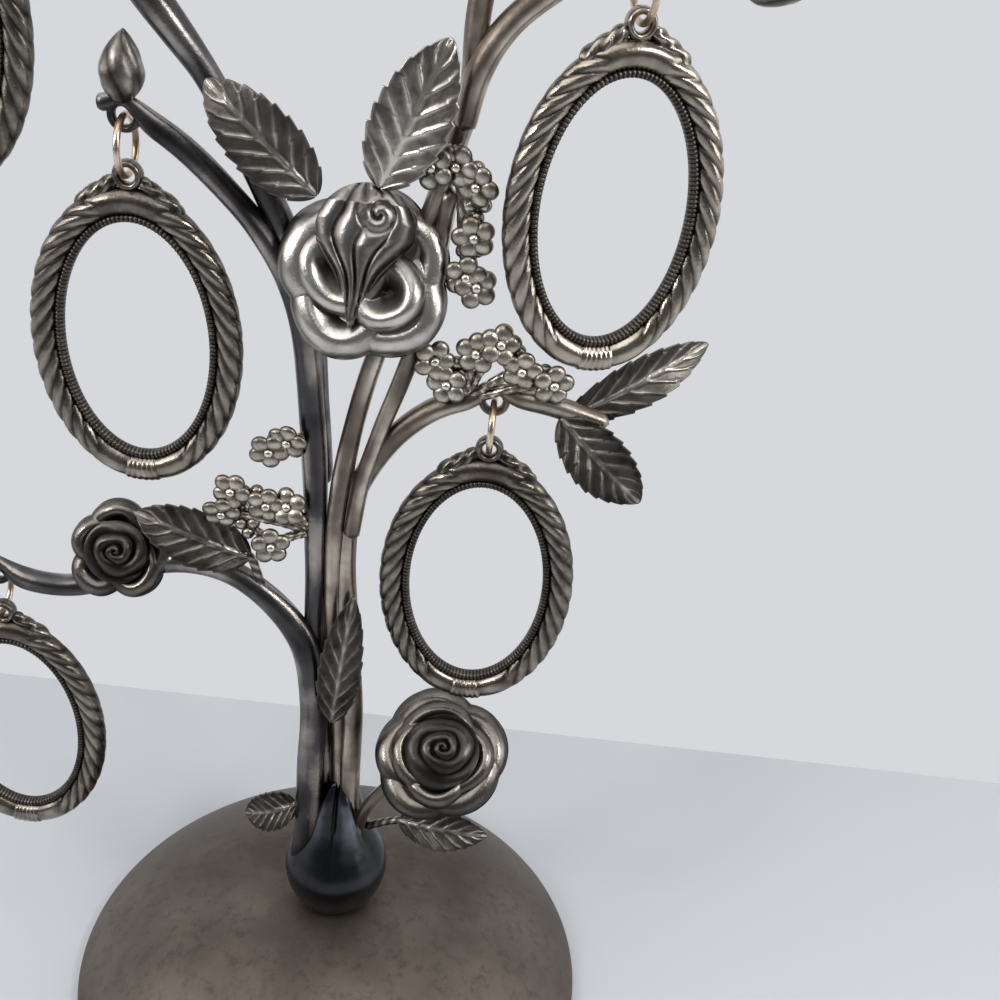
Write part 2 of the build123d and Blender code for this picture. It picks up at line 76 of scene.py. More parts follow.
def build_mesh(name, surfaces):
    """One mesh from several surfaces, with their wear, and any painted highlight in it, stored on its points.
    """
    starts = np.cumsum([0] + [len(s[0]) for s in surfaces])
    points = np.concatenate([s[0] for s in surfaces])
    wear_and_highlight = np.concatenate([s[3] for s in surfaces])
    squares = np.concatenate([s[1] + start for s, start in zip(surfaces, starts)])
    caps = [cap + start for s, start in zip(surfaces, starts) for cap in s[2]]
    corners = np.concatenate([squares.ravel()] + caps)
    sizes = np.concatenate([np.full(len(squares), 4), [len(cap) for cap in caps]])
    mesh = bpy.data.meshes.new(name)
    mesh.vertices.add(len(points))
    mesh.vertices.foreach_set("co", (points * mm).ravel())
    mesh.loops.add(len(corners))
    mesh.loops.foreach_set("vertex_index", corners.astype(np.int32))
    mesh.polygons.add(len(sizes))
    mesh.polygons.foreach_set("loop_start", (np.cumsum(sizes) - sizes).astype(np.int32))
    mesh.polygons.foreach_set("use_smooth", np.ones(len(sizes), dtype=bool))
    mesh.update(calc_edges=True)
    mesh.attributes.new("wear_and_highlight", "FLOAT", "POINT").data.foreach_set("value", np.clip(wear_and_highlight, 0, 1))
    return mesh


def piece(name, surfaces, body, nodes, material):
    """A finer piece that rides on a body and stands for CAD nodes."""
    obj = bpy.data.objects.new(name, build_mesh(name, surfaces))
    bpy.context.collection.objects.link(obj)
    obj.data.materials.append(material)
    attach(obj, body)
    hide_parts(*nodes)
    return obj


def unit(v):
    """Vectors scaled to length one."""
    return v / np.linalg.norm(v, axis=-1, keepdims=True)


def smooth(rows, steps):
    """A Catmull-Rom curve through rows of values, with a number of steps between each pair."""
    p = np.asarray(rows, float)
    p = np.vstack([2 * p[0] - p[1], p, 2 * p[-1] - p[-2]])
    t = np.linspace(0, len(rows) - 1, (len(rows) - 1) * steps + 1)
    i = np.minimum(t.astype(int), len(rows) - 2)
    f = (t - i)[:, None]
    a, b, c, d = p[i], p[i + 1], p[i + 2], p[i + 3]
    return 0.5 * (2 * b + (c - a) * f + (2 * a - 5 * b + 4 * c - d) * f**2 + (3 * b - a - 3 * c + d) * f**3)


def sweep(path, u, v, towards=(0, 1, 0), ring=False):
    """Section points placed along a path: u along a fixed direction, squared to the path, and v beside it."""
    if ring:
        heading = unit(np.roll(path, -1, axis=0) - np.roll(path, 1, axis=0))
    else:
        heading = unit(np.gradient(path, axis=0))
    towards = np.asarray(towards, float)
    first = unit(towards - heading * (heading @ towards)[:, None])
    second = np.cross(heading, first)
    return path[:, None] + first[:, None] * u[..., None] + second[:, None] * v[..., None]


def turned(count):
    """Angles round a section."""
    return np.linspace(0, 2 * np.pi, count, endpoint=False)


def tube(path, radius, sides=20, relief=0.0, wear_and_highlight=0.5, **options):
    """A round bar along a path: relief is added to the radius point by point."""
    a = turned(sides)[None, :]
    r = np.reshape(radius, (-1, 1)) + relief + 0 * a
    return surface(sweep(path, r * np.cos(a), r * np.sin(a), **options), wear_and_highlight, options.get("ring", False))


def rounded(radius, ends):
    """Radius that falls to almost nothing at both ends, like a rounded bar."""
    t = np.linspace(0, 1, len(radius))
    near = np.minimum(t, 1 - t) / ends
    return radius * np.sqrt(np.clip(1 - (1 - np.clip(near, 0, 1)) ** 2, 0.0004, 1))


def axes(origin, x, z):
    """A local set of axes: its origin, and its X, Y and Z directions as rows."""
    z = unit(np.asarray(z, float))
    x = np.asarray(x, float)
    x = unit(x - z * (x @ z))
    return np.asarray(origin, float), np.stack([x, np.cross(z, x), z])


def placed(local, place):
    """Points in local axes, moved into the frame."""
    origin, rows = place
    return local @ rows + origin


print("surfaces are in millimetres")

# %% [markdown]
# ## Sizes
# The same sizes and shares of reach, depth and rise place every piece of the tree.

# %% Sizes and places
tree_height, tree_reach, tree_depth, stem_radius = 302.0, 80.0, 10.0, 3.0
base_radius, base_height, base_edge = 60.0, 25.0, 2.4
bulb_height = 25.0
frame_width, frame_height, rim_width, rim_depth = 39.0, 57.0, 4.8, 4.4
lug_height, eye_drop, ring_radius, ring_wire, hole_drop = 4.8, 2.7, 5.0, 0.6, 0.8
leaf_width = 12.0


def spot(x, y, z):
    """A place in the tree from its shares of reach, depth and rise above the base."""
    return np.array([tree_reach * x, tree_depth * y, base_height + (tree_height - base_height) * z])


stems = {
    "lower_left": [
        (-0.055, -0.10, 0.043, 1.07), (-0.077, -0.20, 0.083, 1.00), (-0.079, -0.20, 0.144, 1.00),
        (-0.074, -0.20, 0.209, 1.00), (-0.089, -0.15, 0.252, 1.00), (-0.134, -0.10, 0.280, 0.93),
        (-0.209, -0.05, 0.303, 0.87), (-0.301, 0.00, 0.319, 0.87), (-0.400, 0.00, 0.325, 0.90),
        (-0.505, 0.00, 0.319, 0.87), (-0.600, 0.00, 0.304, 0.80), (-0.700, 0.00, 0.292, 0.77),
        (-0.800, 0.00, 0.291, 0.77), (-0.900, 0.00, 0.300, 0.77), (-0.988, 0.00, 0.316, 0.53),
    ],
    "left": [
        (-0.029, 0.25, 0.029, 0.87), (-0.041, 0.25, 0.094, 0.80), (-0.054, 0.20, 0.186, 0.80),
        (-0.077, 0.10, 0.263, 0.77), (-0.082, 0.05, 0.339, 0.77), (-0.086, 0.00, 0.397, 0.80),
        (-0.100, 0.00, 0.456, 0.80), (-0.118, 0.00, 0.508, 0.77), (-0.159, 0.00, 0.548, 0.73),
        (-0.223, 0.00, 0.579, 0.73), (-0.295, 0.00, 0.602, 0.70), (-0.375, 0.00, 0.623, 0.70),
        (-0.444, 0.00, 0.636, 0.70), (-0.503, 0.00, 0.643, 0.70), (-0.562, 0.00, 0.645, 0.53),
    ],
    "lower_right": [
        (0.044, 0.00, 0.036, 0.80), (0.034, -0.05, 0.090, 0.77), (0.029, -0.05, 0.139, 0.77),
        (0.028, -0.05, 0.193, 0.77), (0.016, 0.00, 0.247, 0.77), (0.000, 0.05, 0.297, 0.77),
        (-0.009, 0.08, 0.342, 0.73), (0.001, 0.08, 0.384, 0.73), (0.041, 0.05, 0.417, 0.70),
        (0.111, 0.02, 0.448, 0.70), (0.205, 0.00, 0.471, 0.70), (0.324, 0.00, 0.482, 0.70),
        (0.419, 0.00, 0.482, 0.70), (0.509, 0.00, 0.477, 0.70), (0.595, 0.00, 0.471, 0.53),
    ],
    "crown": [
        (0.009, 0.10, 0.032, 0.87), (0.006, 0.10, 0.092, 0.83), (-0.004, 0.10, 0.171, 0.80),
        (-0.022, 0.05, 0.245, 0.73), (-0.036, 0.00, 0.314, 0.67), (-0.030, -0.05, 0.379, 0.67),
        (-0.011, -0.05, 0.429, 0.63), (0.020, 0.00, 0.475, 0.60), (0.057, 0.05, 0.514, 0.60),
        (0.106, 0.05, 0.562, 0.60), (0.155, 0.05, 0.606, 0.60), (0.191, 0.05, 0.644, 0.60),
        (0.214, 0.05, 0.677, 0.67), (0.215, 0.05, 0.719, 0.70), (0.241, 0.00, 0.775, 0.70),
        (0.266, 0.00, 0.835, 0.70), (0.247, 0.00, 0.897, 0.70), (0.158, 0.00, 0.954, 0.70),
        (0.025, 0.00, 0.987, 0.70), (-0.125, 0.00, 0.992, 0.70), (-0.237, 0.00, 0.985, 0.53),
    ],
    "upper_left": [
        (-0.075, 0.25, 0.393, 0.73), (-0.089, 0.25, 0.451, 0.73), (-0.104, 0.25, 0.504, 0.77),
        (-0.139, 0.20, 0.553, 0.80), (-0.205, 0.15, 0.599, 0.80), (-0.277, 0.10, 0.640, 0.77),
        (-0.330, 0.05, 0.668, 0.80), (-0.388, 0.00, 0.691, 0.93), (-0.455, 0.00, 0.715, 1.00),
        (-0.546, 0.00, 0.749, 0.87), (-0.637, 0.00, 0.789, 0.77), (-0.731, 0.00, 0.818, 0.73),
        (-0.825, 0.00, 0.832, 0.73), (-0.925, 0.00, 0.832, 0.70), (-1.012, 0.00, 0.819, 0.53),
    ],
    "brace": [
        (0.006, -0.15, 0.362, 0.53), (0.028, -0.15, 0.408, 0.53), (0.065, -0.10, 0.449, 0.53),
        (0.107, -0.05, 0.487, 0.57), (0.144, 0.00, 0.526, 0.57), (0.170, -0.03, 0.575, 0.53),
        (0.188, -0.03, 0.619, 0.50),
    ],
    "upper_right": [
        (0.205, -0.10, 0.653, 0.57), (0.224, -0.10, 0.686, 0.73), (0.269, -0.08, 0.711, 0.73),
        (0.336, -0.04, 0.731, 0.73), (0.435, 0.00, 0.751, 0.73), (0.535, 0.00, 0.762, 0.70),
        (0.637, 0.00, 0.763, 0.63), (0.730, 0.00, 0.752, 0.50),
    ],
    "rose": [
        (0.056, -0.10, 0.076, 0.47), (0.081, -0.25, 0.108, 0.43), (0.138, -0.30, 0.137, 0.43),
        (0.206, -0.30, 0.157, 0.43), (0.263, -0.25, 0.168, 0.43),
    ],
}

hangers = {
    "lower_right": ("lower_right", 11, 0.0),
    "upper_right": ("upper_right", 5, 18.0),
    "middle_left": ("left", 13, 0.0),
    "lower_left": ("lower_left", 13, 0.0),
    "top_left": ("upper_left", 13, 0.0),
    "top_centre": ("crown", 19, 0.0),
}

leaves = {
    "upper_left": ((-0.089, -0.32, 0.607), (-0.324, -0.25, 0.668), 1.00, 0.3),
    "upper_right": ((0.041, -0.30, 0.616), (0.170, -0.30, 0.706), 1.08, 0.0),
    "trunk": ((-0.020, -0.34, 0.199), (0.022, -0.26, 0.315), 0.75, 0.0),
    "right_long": ((0.500, 0.15, 0.470), (0.812, 1.30, 0.518), 0.75, 0.2),
    "right_lower": ((0.480, -0.10, 0.474), (0.690, -0.40, 0.422), 0.95, 0.2),
    "lower_left": ((-0.240, -0.20, 0.338), (-0.517, -0.35, 0.369), 0.95, 0.5),
    "base_left": ((-0.116, -0.10, 0.100), (-0.261, -0.20, 0.088), 0.75, 0.5),
    "base_right": ((0.176, -0.20, 0.098), (0.431, -0.40, 0.099), 0.75, 0.6),
    "crown": ((0.263, 0.00, 0.856), (0.475, -0.20, 0.928), 1.00, 0.2),
    "far_right": ((0.613, 0.00, 0.763), (0.750, -0.20, 0.830), 0.90, 0.2),
    "top_left": ((-0.625, 0.00, 0.783), (-0.725, -0.20, 0.877), 1.00, 0.2),
}

leaf_roots = {
    "lower_left": (-0.209, -0.05, 0.303),
    "base_left": (-0.080, 0.00, 0.082),
    "base_right": (0.085, 0.00, 0.080),
}

buds = {
    "left": ((-0.510, 0.00, 0.648), (0.1, 0.0, 1.0), 0.9),
    "top_left": ((-0.988, 0.00, 0.823), (-1.0, 0.0, -0.3), 0.85),
    "crown": ((-0.219, 0.00, 0.987), (-1.0, 0.0, -0.2), 0.85),
    "far_right": ((0.713, 0.00, 0.755), (1.0, 0.0, -0.3), 0.8),
    "far_left": ((-0.975, 0.00, 0.313), (-0.8, 0.0, 0.6), 0.85),
}

sprays = {
    "right_upper": (
        (0.194, 0.00, 0.643),
        [(0.150, 0.632), (0.202, 0.635), (0.246, 0.624), (0.245, 0.592), (0.234, 0.567), (0.258, 0.560)],
    ),
    "right_lower": (
        (0.250, 0.00, 0.476),
        [(0.180, 0.508), (0.216, 0.492), (0.275, 0.516), (0.324, 0.523), (0.380, 0.508), (0.451, 0.500)],
    ),
    "left_upper": ((-0.094, 0.00, 0.433), [(-0.193, 0.429), (-0.145, 0.438)]),
    "left_lower": (
        (-0.087, 0.00, 0.361),
        [(-0.281, 0.394), (-0.200, 0.386), (-0.144, 0.385), (-0.309, 0.376), (-0.189, 0.352)],
    ),
}


def hang_point(name):
    """Centre of the hole that a frame hangs from."""
    stem, index, turn = hangers[name]
    return spot(*stems[stem][index][:3]) - [0, 0, hole_drop]


print("stems:", len(stems), "leaves:", len(leaves), "frames:", len(hangers))

# %% [markdown]
# ## Tarnished metal
# Old silver plate is brown-black in its hollows and bright where hands have rubbed it.
# The stored wear value, broken up with noise, chooses between the two. On the bulb and the upper right frame it
# also holds a painted highlight.

# %% Materials


def colour(code):
    """A hex sRGB colour as a linear colour."""
    c = np.array([int(code[i:i + 2], 16) for i in (1, 3, 5)]) / 255
    c = np.where(c <= 0.04045, c / 12.92, ((c + 0.055) / 1.055) ** 2.4)
    return (*c, 1.0)


def node(tree, kind, inputs=None, **settings):
    """Add one node, set its options, and link or fill its inputs."""
    made = tree.nodes.new(kind)
    for key, value in settings.items():
        setattr(made, key, value)
    for key, value in (inputs or {}).items():
        if isinstance(value, bpy.types.NodeSocket):
            tree.links.new(value, made.inputs[key])
        else:
            made.inputs[key].default_value = value
    return made


def new_material(name):
    """An empty material: its node tree, its surface shader and itself."""
    made = bpy.data.materials.new(name)
    made.use_nodes = True
    return made.node_tree, made.node_tree.nodes["Principled BSDF"], made


def noise(tree, size_mm, detail=3.0, roughness=0.55):
    """Noise in object space with patches of a real size."""
    place = node(tree, "ShaderNodeTexCoord").outputs["Object"]
    inputs = {"Vector": place, "Scale": 1000.0 / size_mm, "Detail": detail, "Roughness": roughness}
    return node(tree, "ShaderNodeTexNoise", inputs).outputs["Fac"]


def maths(tree, operation, a, b):
    """One sum of two values."""
    return node(tree, "ShaderNodeMath", {0: a, 1: b}, operation=operation).outputs[0]


def aged_metal(name, hollow, middle, ridge, polish, tarnish_mm=2.5, spread=0.5, pit=0.25):
    """Tarnished plate: three colours along the wear value, which can also hold a painted highlight, and a
    roughness that follows the tarnish.
    """
    tree, shader, made = new_material(name)
    wear_and_highlight = node(tree, "ShaderNodeAttribute", attribute_name="wear_and_highlight").outputs["Fac"]
    cloud = noise(tree, tarnish_mm)
    shift = maths(tree, "MULTIPLY", maths(tree, "SUBTRACT", cloud, 0.5), 2 * spread)
    level = maths(tree, "ADD", wear_and_highlight, shift)
    ramp = node(tree, "ShaderNodeValToRGB", {"Fac": level})
    ramp.color_ramp.elements[0].position = 0.12
    ramp.color_ramp.elements[0].color = colour(hollow)
    ramp.color_ramp.elements[1].position = 0.92
    ramp.color_ramp.elements[1].color = colour(ridge)
    ramp.color_ramp.elements.new(0.5).color = colour(middle)
    tree.links.new(ramp.outputs["Color"], shader.inputs["Base Color"])
    shader.inputs["Metallic"].default_value = 1.0
    dull, rubbed = polish + 0.20, polish - 0.05
    rough = node(tree, "ShaderNodeMapRange", {"Value": level, "To Min": dull, "To Max": rubbed})
    tree.links.new(rough.outputs["Result"], shader.inputs["Roughness"])
    fine = noise(tree, 0.6, detail=4.0)
    bump = node(tree, "ShaderNodeBump", {"Height": fine, "Strength": pit, "Distance": 0.0002})
    tree.links.new(bump.outputs["Normal"], shader.inputs["Normal"])
    return made


# Silver plate gone brown in the hollows, on the inner stems
stem_metal = aged_metal("tarnished_silver_stem", "#332d29", "#83786d", "#e8dfd1", 0.26, 6.0, 0.32)
# Silver plate gone black, on the trunk and the left-hand branches
trunk_metal = aged_metal("blackened_silver_trunk", "#212021", "#545152", "#b9b2aa", 0.22, 8.0, 0.35)
# Cast leaves, dark grey with bright veins
leaf_metal = aged_metal("dark_pewter_leaf", "#2f2b28", "#6a6560", "#d9d1c6", 0.28, 3.0, 0.28)
# The centre rose, rubbed bright on its rims
bright_rose = aged_metal("polished_silver_rose", "#2a2726", "#837e7a", "#f0ebe3", 0.24, 5.0, 0.25)
# The lower rose, dark all over
dark_rose = aged_metal("dark_pewter_rose", "#1c1a18", "#45423f", "#857e76", 0.26, 4.0, 0.22)
# Flower sprays, worn
spray_silver = aged_metal("worn_silver_flowers", "#342e29", "#8c8378", "#fffbeb", 0.24, 1.8, 0.25)
# Frame rims, dark with bright lobes
frame_metal = aged_metal("pewter_rope_rim", "#2c2723", "#655f58", "#b9afa1", 0.20, 3.0, 0.30)
# Milled inner strips
bezel_metal = aged_metal("milled_pewter_strip", "#1c1a19", "#4d4842", "#958c81", 0.28, 2.0, 0.2)
# Blue-black bulb at the foot
bulb_metal = aged_metal("blue_black_gunmetal", "#1c1d1f", "#3c3e42", "#a2a6ad", 0.16, 9.0, 0.28, 0.1)
# Brass wire rings with a pale wash
ring_brass = aged_metal("pale_brass_wire", "#695541", "#b0987d", "#f2e2ce", 0.22, 1.5, 0.3, 0.05)


def mixed(tree, share, one, other):
    """Two colours mixed by a share from 0 to 1."""
    return node(tree, "ShaderNodeMix", {0: share, 6: one, 7: other}, data_type="RGBA").outputs[2]


def base_material():
    """Matt brown-grey plate: wide cloudy stains, fine dark specks and a soft sheen."""
    tree, shader, made = new_material("matt_tarnished_base")
    clouds = noise(tree, 22.0, detail=5.0)
    specks = noise(tree, 3.2, detail=9.0, roughness=0.8)
    tone = node(tree, "ShaderNodeMapRange", {"Value": clouds, "From Min": 0.3, "From Max": 0.7})
    stain = mixed(tree, tone.outputs["Result"], colour("#4a413a"), colour("#665d54"))
    dots = node(tree, "ShaderNodeMapRange", {"Value": specks, "From Min": 0.30, "From Max": 0.50})
    whole = mixed(tree, dots.outputs["Result"], colour("#3f3832"), stain)
    tree.links.new(whole, shader.inputs["Base Color"])
    shader.inputs["Metallic"].default_value = 0.6
    rough = node(tree, "ShaderNodeMapRange", {"Value": clouds, "To Min": 0.36, "To Max": 0.56})
    tree.links.new(rough.outputs["Result"], shader.inputs["Roughness"])
    bump = node(tree, "ShaderNodeBump", {"Height": specks, "Strength": 0.12, "Distance": 0.0003})
    tree.links.new(bump.outputs["Normal"], shader.inputs["Normal"])
    return made


def plain(name, code, rough, metallic=0.0):
    """A single even colour."""
    tree, shader, made = new_material(name)
    shader.inputs["Base Color"].default_value = colour(code)
    shader.inputs["Roughness"].default_value = rough
    shader.inputs["Metallic"].default_value = metallic
    return made


base_metal = base_material()
# Dark felt, poured plaster and plain steel are hidden inside and under the base
hidden = {
    "base_felt": plain("dark_felt", "#26252a", 0.95),
    "base_filling": plain("poured_plaster", "#b9b3a8", 0.9),
    "base_screw": plain("plain_steel_screw", "#8b8d90", 0.35, 1.0),
    "base_washer": plain("plain_steel_washer", "#8b8d90", 0.35, 1.0),
}
for name, material in hidden.items():
    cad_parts[name].data.materials.clear()
    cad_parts[name].data.materials.append(material)
print("materials:", len(bpy.data.materials))

# %% [markdown]
# ## Base and bulb
# Both are turned shapes: a half outline is spun round the upright axis.
# The bulb's fluted neck rises between the stems and closes the gap between them.

# %% Base and bulb


def spun(outline, sides, relief=0.0):
    """A half outline of radius and height spun round Z. Relief is added to the radius."""
    outline = np.asarray(outline, float)
    a = turned(sides)[None, :]
    r = outline[:, :1] + relief + 0 * a
    return np.stack([r * np.cos(a), r * np.sin(a), outline[:, 1:] + 0 * a], axis=-1)


def dome_outline():
    """From the screw hole over a flat land, down an arc to the edge, and round the edge to its inside."""
    land, hole, plate = 9.0, 2.8, 1.3
    start, end = np.array([land, base_height]), np.array([base_radius, base_edge])
    middle = np.array([(land + base_radius) / 2, base_edge + (base_height - base_edge) * 0.78])
    chords = 2 * np.array([end - start, middle - start])
    centre = np.linalg.solve(chords, [end @ end - start @ start, middle @ middle - start @ start])
    radius = np.linalg.norm(start - centre)
    first, last = [np.arctan2(*(corner - centre)[::-1]) for corner in (start, end)]
    a = np.linspace(first, last, 70)
    arc = centre + radius * np.stack([np.cos(a), np.sin(a)], axis=-1)
    hole_wall = [[hole, base_height - plate], [hole, base_height]]
    edge = np.stack([base_radius - np.array([0.05, 0.5, 1.3, 1.4]), [1.2, 0.35, 0.35, 2.6]], axis=-1)
    return np.vstack([hole_wall, arc, edge])


bulb_outline = [
    (7.2, 0), (8.3, 1.0), (10.6, 5.0), (11.7, 9.6), (11.2, 13.6), (9.3, 17.4),
    (7.4, 20.8), (6.0, 24.2), (5.0, 28.0), (3.8, 32.0), (1.6, 35.5),
]


def bulb_surface():
    """Full round belly, pulled in at the foot, with five grooves that deepen up its shoulder and neck, and a
    painted highlight on its front right side.
    """
    sides = 96
    rows = smooth(bulb_outline, 8)
    a = turned(sides)[None, :]
    up = rows[:, 1:] / bulb_height
    shoulder = np.clip((up - 0.45) / 0.55, 0, 1) ** 1.4
    groove = np.abs(np.sin(2.5 * a + 0.9)) ** 0.6 - 0.70
    relief = 2.2 * shoulder * groove + 0.08 * np.sin(3 * a + 9 * up)
    grid = spun(rows, sides, relief) + [0, 0, base_height]
    # The cosine term is a painted highlight on the front right side, which faces the right-hand lights.
    return surface(grid, 0.35 + 0.5 * shoulder * groove + 0.1 * np.cos(a - 5.6))


base_plate = surface(spun(dome_outline(), 192), 0.5)
piece("base_plate", [base_plate], "stand", ["base_shell"], base_metal)
piece("bulb", [bulb_surface()], "stand", ["trunk_bulb"], bulb_metal)
print("base and bulb made")

# %% [markdown]
# ## Stems
# Each stem is a bar along a smooth curve. Slow waves in its radius make it look hand finished.
# Where a frame hangs, the bar rises and thins over a small round eyelet.
# The stems that start at the bulb spread over its shoulder in feet.

# %% Stems


# Height of a foot above the base where it leaves its stem and where it ends, and its reach there
foot_top, foot_low, foot_reach = 33.0, 9.0, 9.9
# Bearing of each foot in degrees, seen from above
stem_feet = {"lower_left": -158, "lower_right": -38, "left": 140, "crown": 75}


def foot_surface(x, y, radius, bearing):
    """A foot that spreads from a place above the bulb down over its shoulder, towards a bearing."""
    t = np.linspace(0, 1, 40)
    start = np.arctan2(y, x)
    turn = start + (np.radians(bearing) - start) * np.clip(1.6 * t, 0, 1)
    far = np.hypot(x, y) + (foot_reach - np.hypot(x, y)) * t**1.7
    level = base_height + foot_top - (foot_top - foot_low) * t
    path = np.stack([far * np.cos(turn), far * np.sin(turn), level], axis=-1)
    wear_and_highlight = 0.42 + 0.12 * np.cos(turned(24))[None, :] + 0 * t[:, None]
    return tube(path, rounded(radius * (1 - 0.5 * t**2), 0.3), 24, 0.0, wear_and_highlight)


def eyelet(name):
    """A ring round a hanging hole."""
    turn = np.radians(hangers[name][2])
    a = turned(40)
    across = np.array([np.cos(turn), np.sin(turn), 0])
    path = hang_point(name) + 2.25 * (np.cos(a)[:, None] * across + np.sin(a)[:, None] * [0, 0, 1])
    b = turned(16)[None, :]
    along = [-np.sin(turn), np.cos(turn), 0]
    grid = sweep(path, 1.2 * np.cos(b) + 0 * a[:, None], 0.72 * np.sin(b) + 0 * a[:, None], along, ring=True)
    return surface(grid, 0.55 + 0.2 * np.cos(b), ring=True)


def stem_surfaces(name):
    """The bar of one stem, its eyelets and its foot."""
    rows = smooth(stems[name], 10)
    path = spot(0, 0, 0) + rows[:, :3] * [tree_reach, tree_depth, tree_height - base_height]
    radius = stem_radius * rows[:, 3]
    made = []
    for hanger, (stem, index, turn) in hangers.items():
        if stem == name:
            near = np.exp(-(np.linalg.norm(path - hang_point(hanger), axis=1) / 3.2) ** 2)
            path = path + near[:, None] * [0, 0, 1.7]
            radius = radius * (1 - 0.5 * near)
            made.append(eyelet(hanger))
    run = np.concatenate([[0], np.cumsum(np.linalg.norm(np.diff(path, axis=0), axis=1))])[:, None]
    a = turned(32)[None, :]
    seed = len(name)
    twist = 0.45 * np.sin(2 * a + run / 9 + seed) + 0.3 * np.sin(3 * a - run / 6)
    swell = 0.2 * np.sin(run / 3.1 + seed)
    folds = 0.45 * np.abs(np.sin(2.5 * a + run / 30 + seed)) ** 0.5 - 0.3
    waves = twist + swell + folds
    relief = 0.07 * radius[:, None] * waves
    made.append(tube(path, rounded(radius, 0.02), 32, relief, 0.5 + 0.28 * waves))
    if name in stem_feet:
        top = np.argmax(path[:, 2] > base_height + foot_top)
        made.append(foot_surface(path[top, 0], path[top, 1], 0.98 * radius[top], stem_feet[name]))
    return made


for name in stems:
    metal = trunk_metal if "left" in name else stem_metal
    piece("branch_" + name, stem_surfaces(name), "stand", ["stem_" + name], metal)
print("stems made")

# %% [markdown]
# ## Leaves
# A leaf is a thin closed shell. Its outline is wide near the middle and toothed.
# The front carries a raised midrib and slanting side veins.

# %% Leaves


def shell(front, back):
    """A closed shell: its rows run out along a front sheet and home along a back sheet."""
    return np.concatenate([front, back[:, ::-1]], axis=1)


def leaf_surface(base, tip, width, lean, shine, veins=6, bow=2.0):
    """Along the leaf s runs from 0 to 1, and across it t runs from -1 to 1. Shine lifts its wear."""
    teeth = 9
    base, tip = np.asarray(base), np.asarray(tip)
    length = np.linalg.norm(tip - base)
    along = unit(tip - base)
    place = axes(base, along, np.array([0, -1, lean]) - along * (np.array([0, -1, lean]) @ along))
    s = np.linspace(0.004, 0.996, 110)[:, None]
    t = np.linspace(-1, 1, 45)[None, :]
    tooth = (s * teeth) % 1
    half = width / 2 * 2.42 * s**0.55 * (1 - s) ** 0.75 * (0.94 + 0.10 * tooth)
    side = np.abs(t)
    q = ((s - 0.22 * side) * (veins + 1)) % 1
    vein = np.exp(-((q - 0.5) / 0.10) ** 2) * np.clip(side * 4, 0, 1) * (1 - side**4)
    rib = np.exp(-((t * half) / 0.5) ** 2)
    pillow = np.sin(np.pi * q) ** 2 * (1 - side)
    lift = bow * np.sin(np.pi * s) + 0.24 * side * half + 0.35 * np.sin(3 * np.pi * s) * t
    wall = 0.35 + 0.35 * np.sqrt(np.clip(1 - t**2, 0, 1)) * np.clip(half / 2, 0, 1)
    top = lift + wall / 2 + 0.42 * vein * (1 - 0.5 * s) + 0.5 * rib * (1 - 0.6 * s)
    low = lift - wall / 2 + 0 * t
    x = length * (s + 0.04 * side * np.sin(np.pi * s)) + 0 * t
    y = half * t
    front = np.stack([x, y, top], axis=-1)
    back = np.stack([x, y, low], axis=-1)
    worn = shine + 0.30 * np.maximum(vein, rib) + 0.16 * pillow - 0.12 * side + 0.16 * (side > 0.93)
    wear_and_highlight = np.concatenate([worn, 0 * worn + 0.3], axis=1)
    return surface(placed(shell(front, back), place), wear_and_highlight)


def stalk(points, radius, bumps=0.0):
    """A thin rod through points, with small knots along it."""
    path = smooth(points, 10)
    run = np.linspace(0, 1, len(path))[:, None]
    a = turned(14)[None, :]
    knots = bumps * np.sin(38 * run + 2 * a) * np.sin(23 * run)
    wear_and_highlight = 0.5 + 0.3 * np.sin(38 * run + 2 * a)
    return tube(path, rounded(np.full(len(path), radius), 0.05), 14, knots, wear_and_highlight)


# The leaves round the centre rose get a higher wear value, so they show lighter than the rest
plain_shine = 0.28
leaf_shine = {"upper_right": 0.60, "upper_left": 0.38, "right_long": 0.36}
for name, (base, tip, width, lean) in leaves.items():
    shine = leaf_shine.get(name, plain_shine)
    made = [leaf_surface(spot(*base), spot(*tip), leaf_width * width, lean, shine)]
    if name in leaf_roots:
        root = spot(*leaf_roots[name])
        start = spot(*base)
        ahead = start + 0.12 * (spot(*tip) - start)
        made.append(stalk([root, (root + start) / 2 + [0, 0, 0.4], start, ahead], 0.9))
    piece("leafwork_" + name, made, "stand", ["leaf_" + name], leaf_metal)
print("leaves made")

# %% [markdown]
# ## Roses and buds
# Each layer of a cast rose is a relief: a height above a flat back, over a lobed outline.
# A petal is a disc that is rounded at its rim and sinks behind it, and the higher petal shows.

# %% Roses and buds


def rose_place(at, tilt):
    """Axes of a rose that faces the front and is tilted upwards."""
    angle = np.radians(tilt)
    return axes(spot(*at), (1, 0, 0), (0, -np.cos(angle), np.sin(angle)))


def edge_distance(discs, a):
    """How far a ray from the middle runs before it leaves a group of discs."""
    far = 0 * a
    for x, y, r in discs:
        ahead = x * np.cos(a) + y * np.sin(a)
        inside = r**2 - (x**2 + y**2 - ahead**2)
        far = np.maximum(far, np.where(inside > 0, ahead + np.sqrt(np.maximum(inside, 0)), 0))
    return far


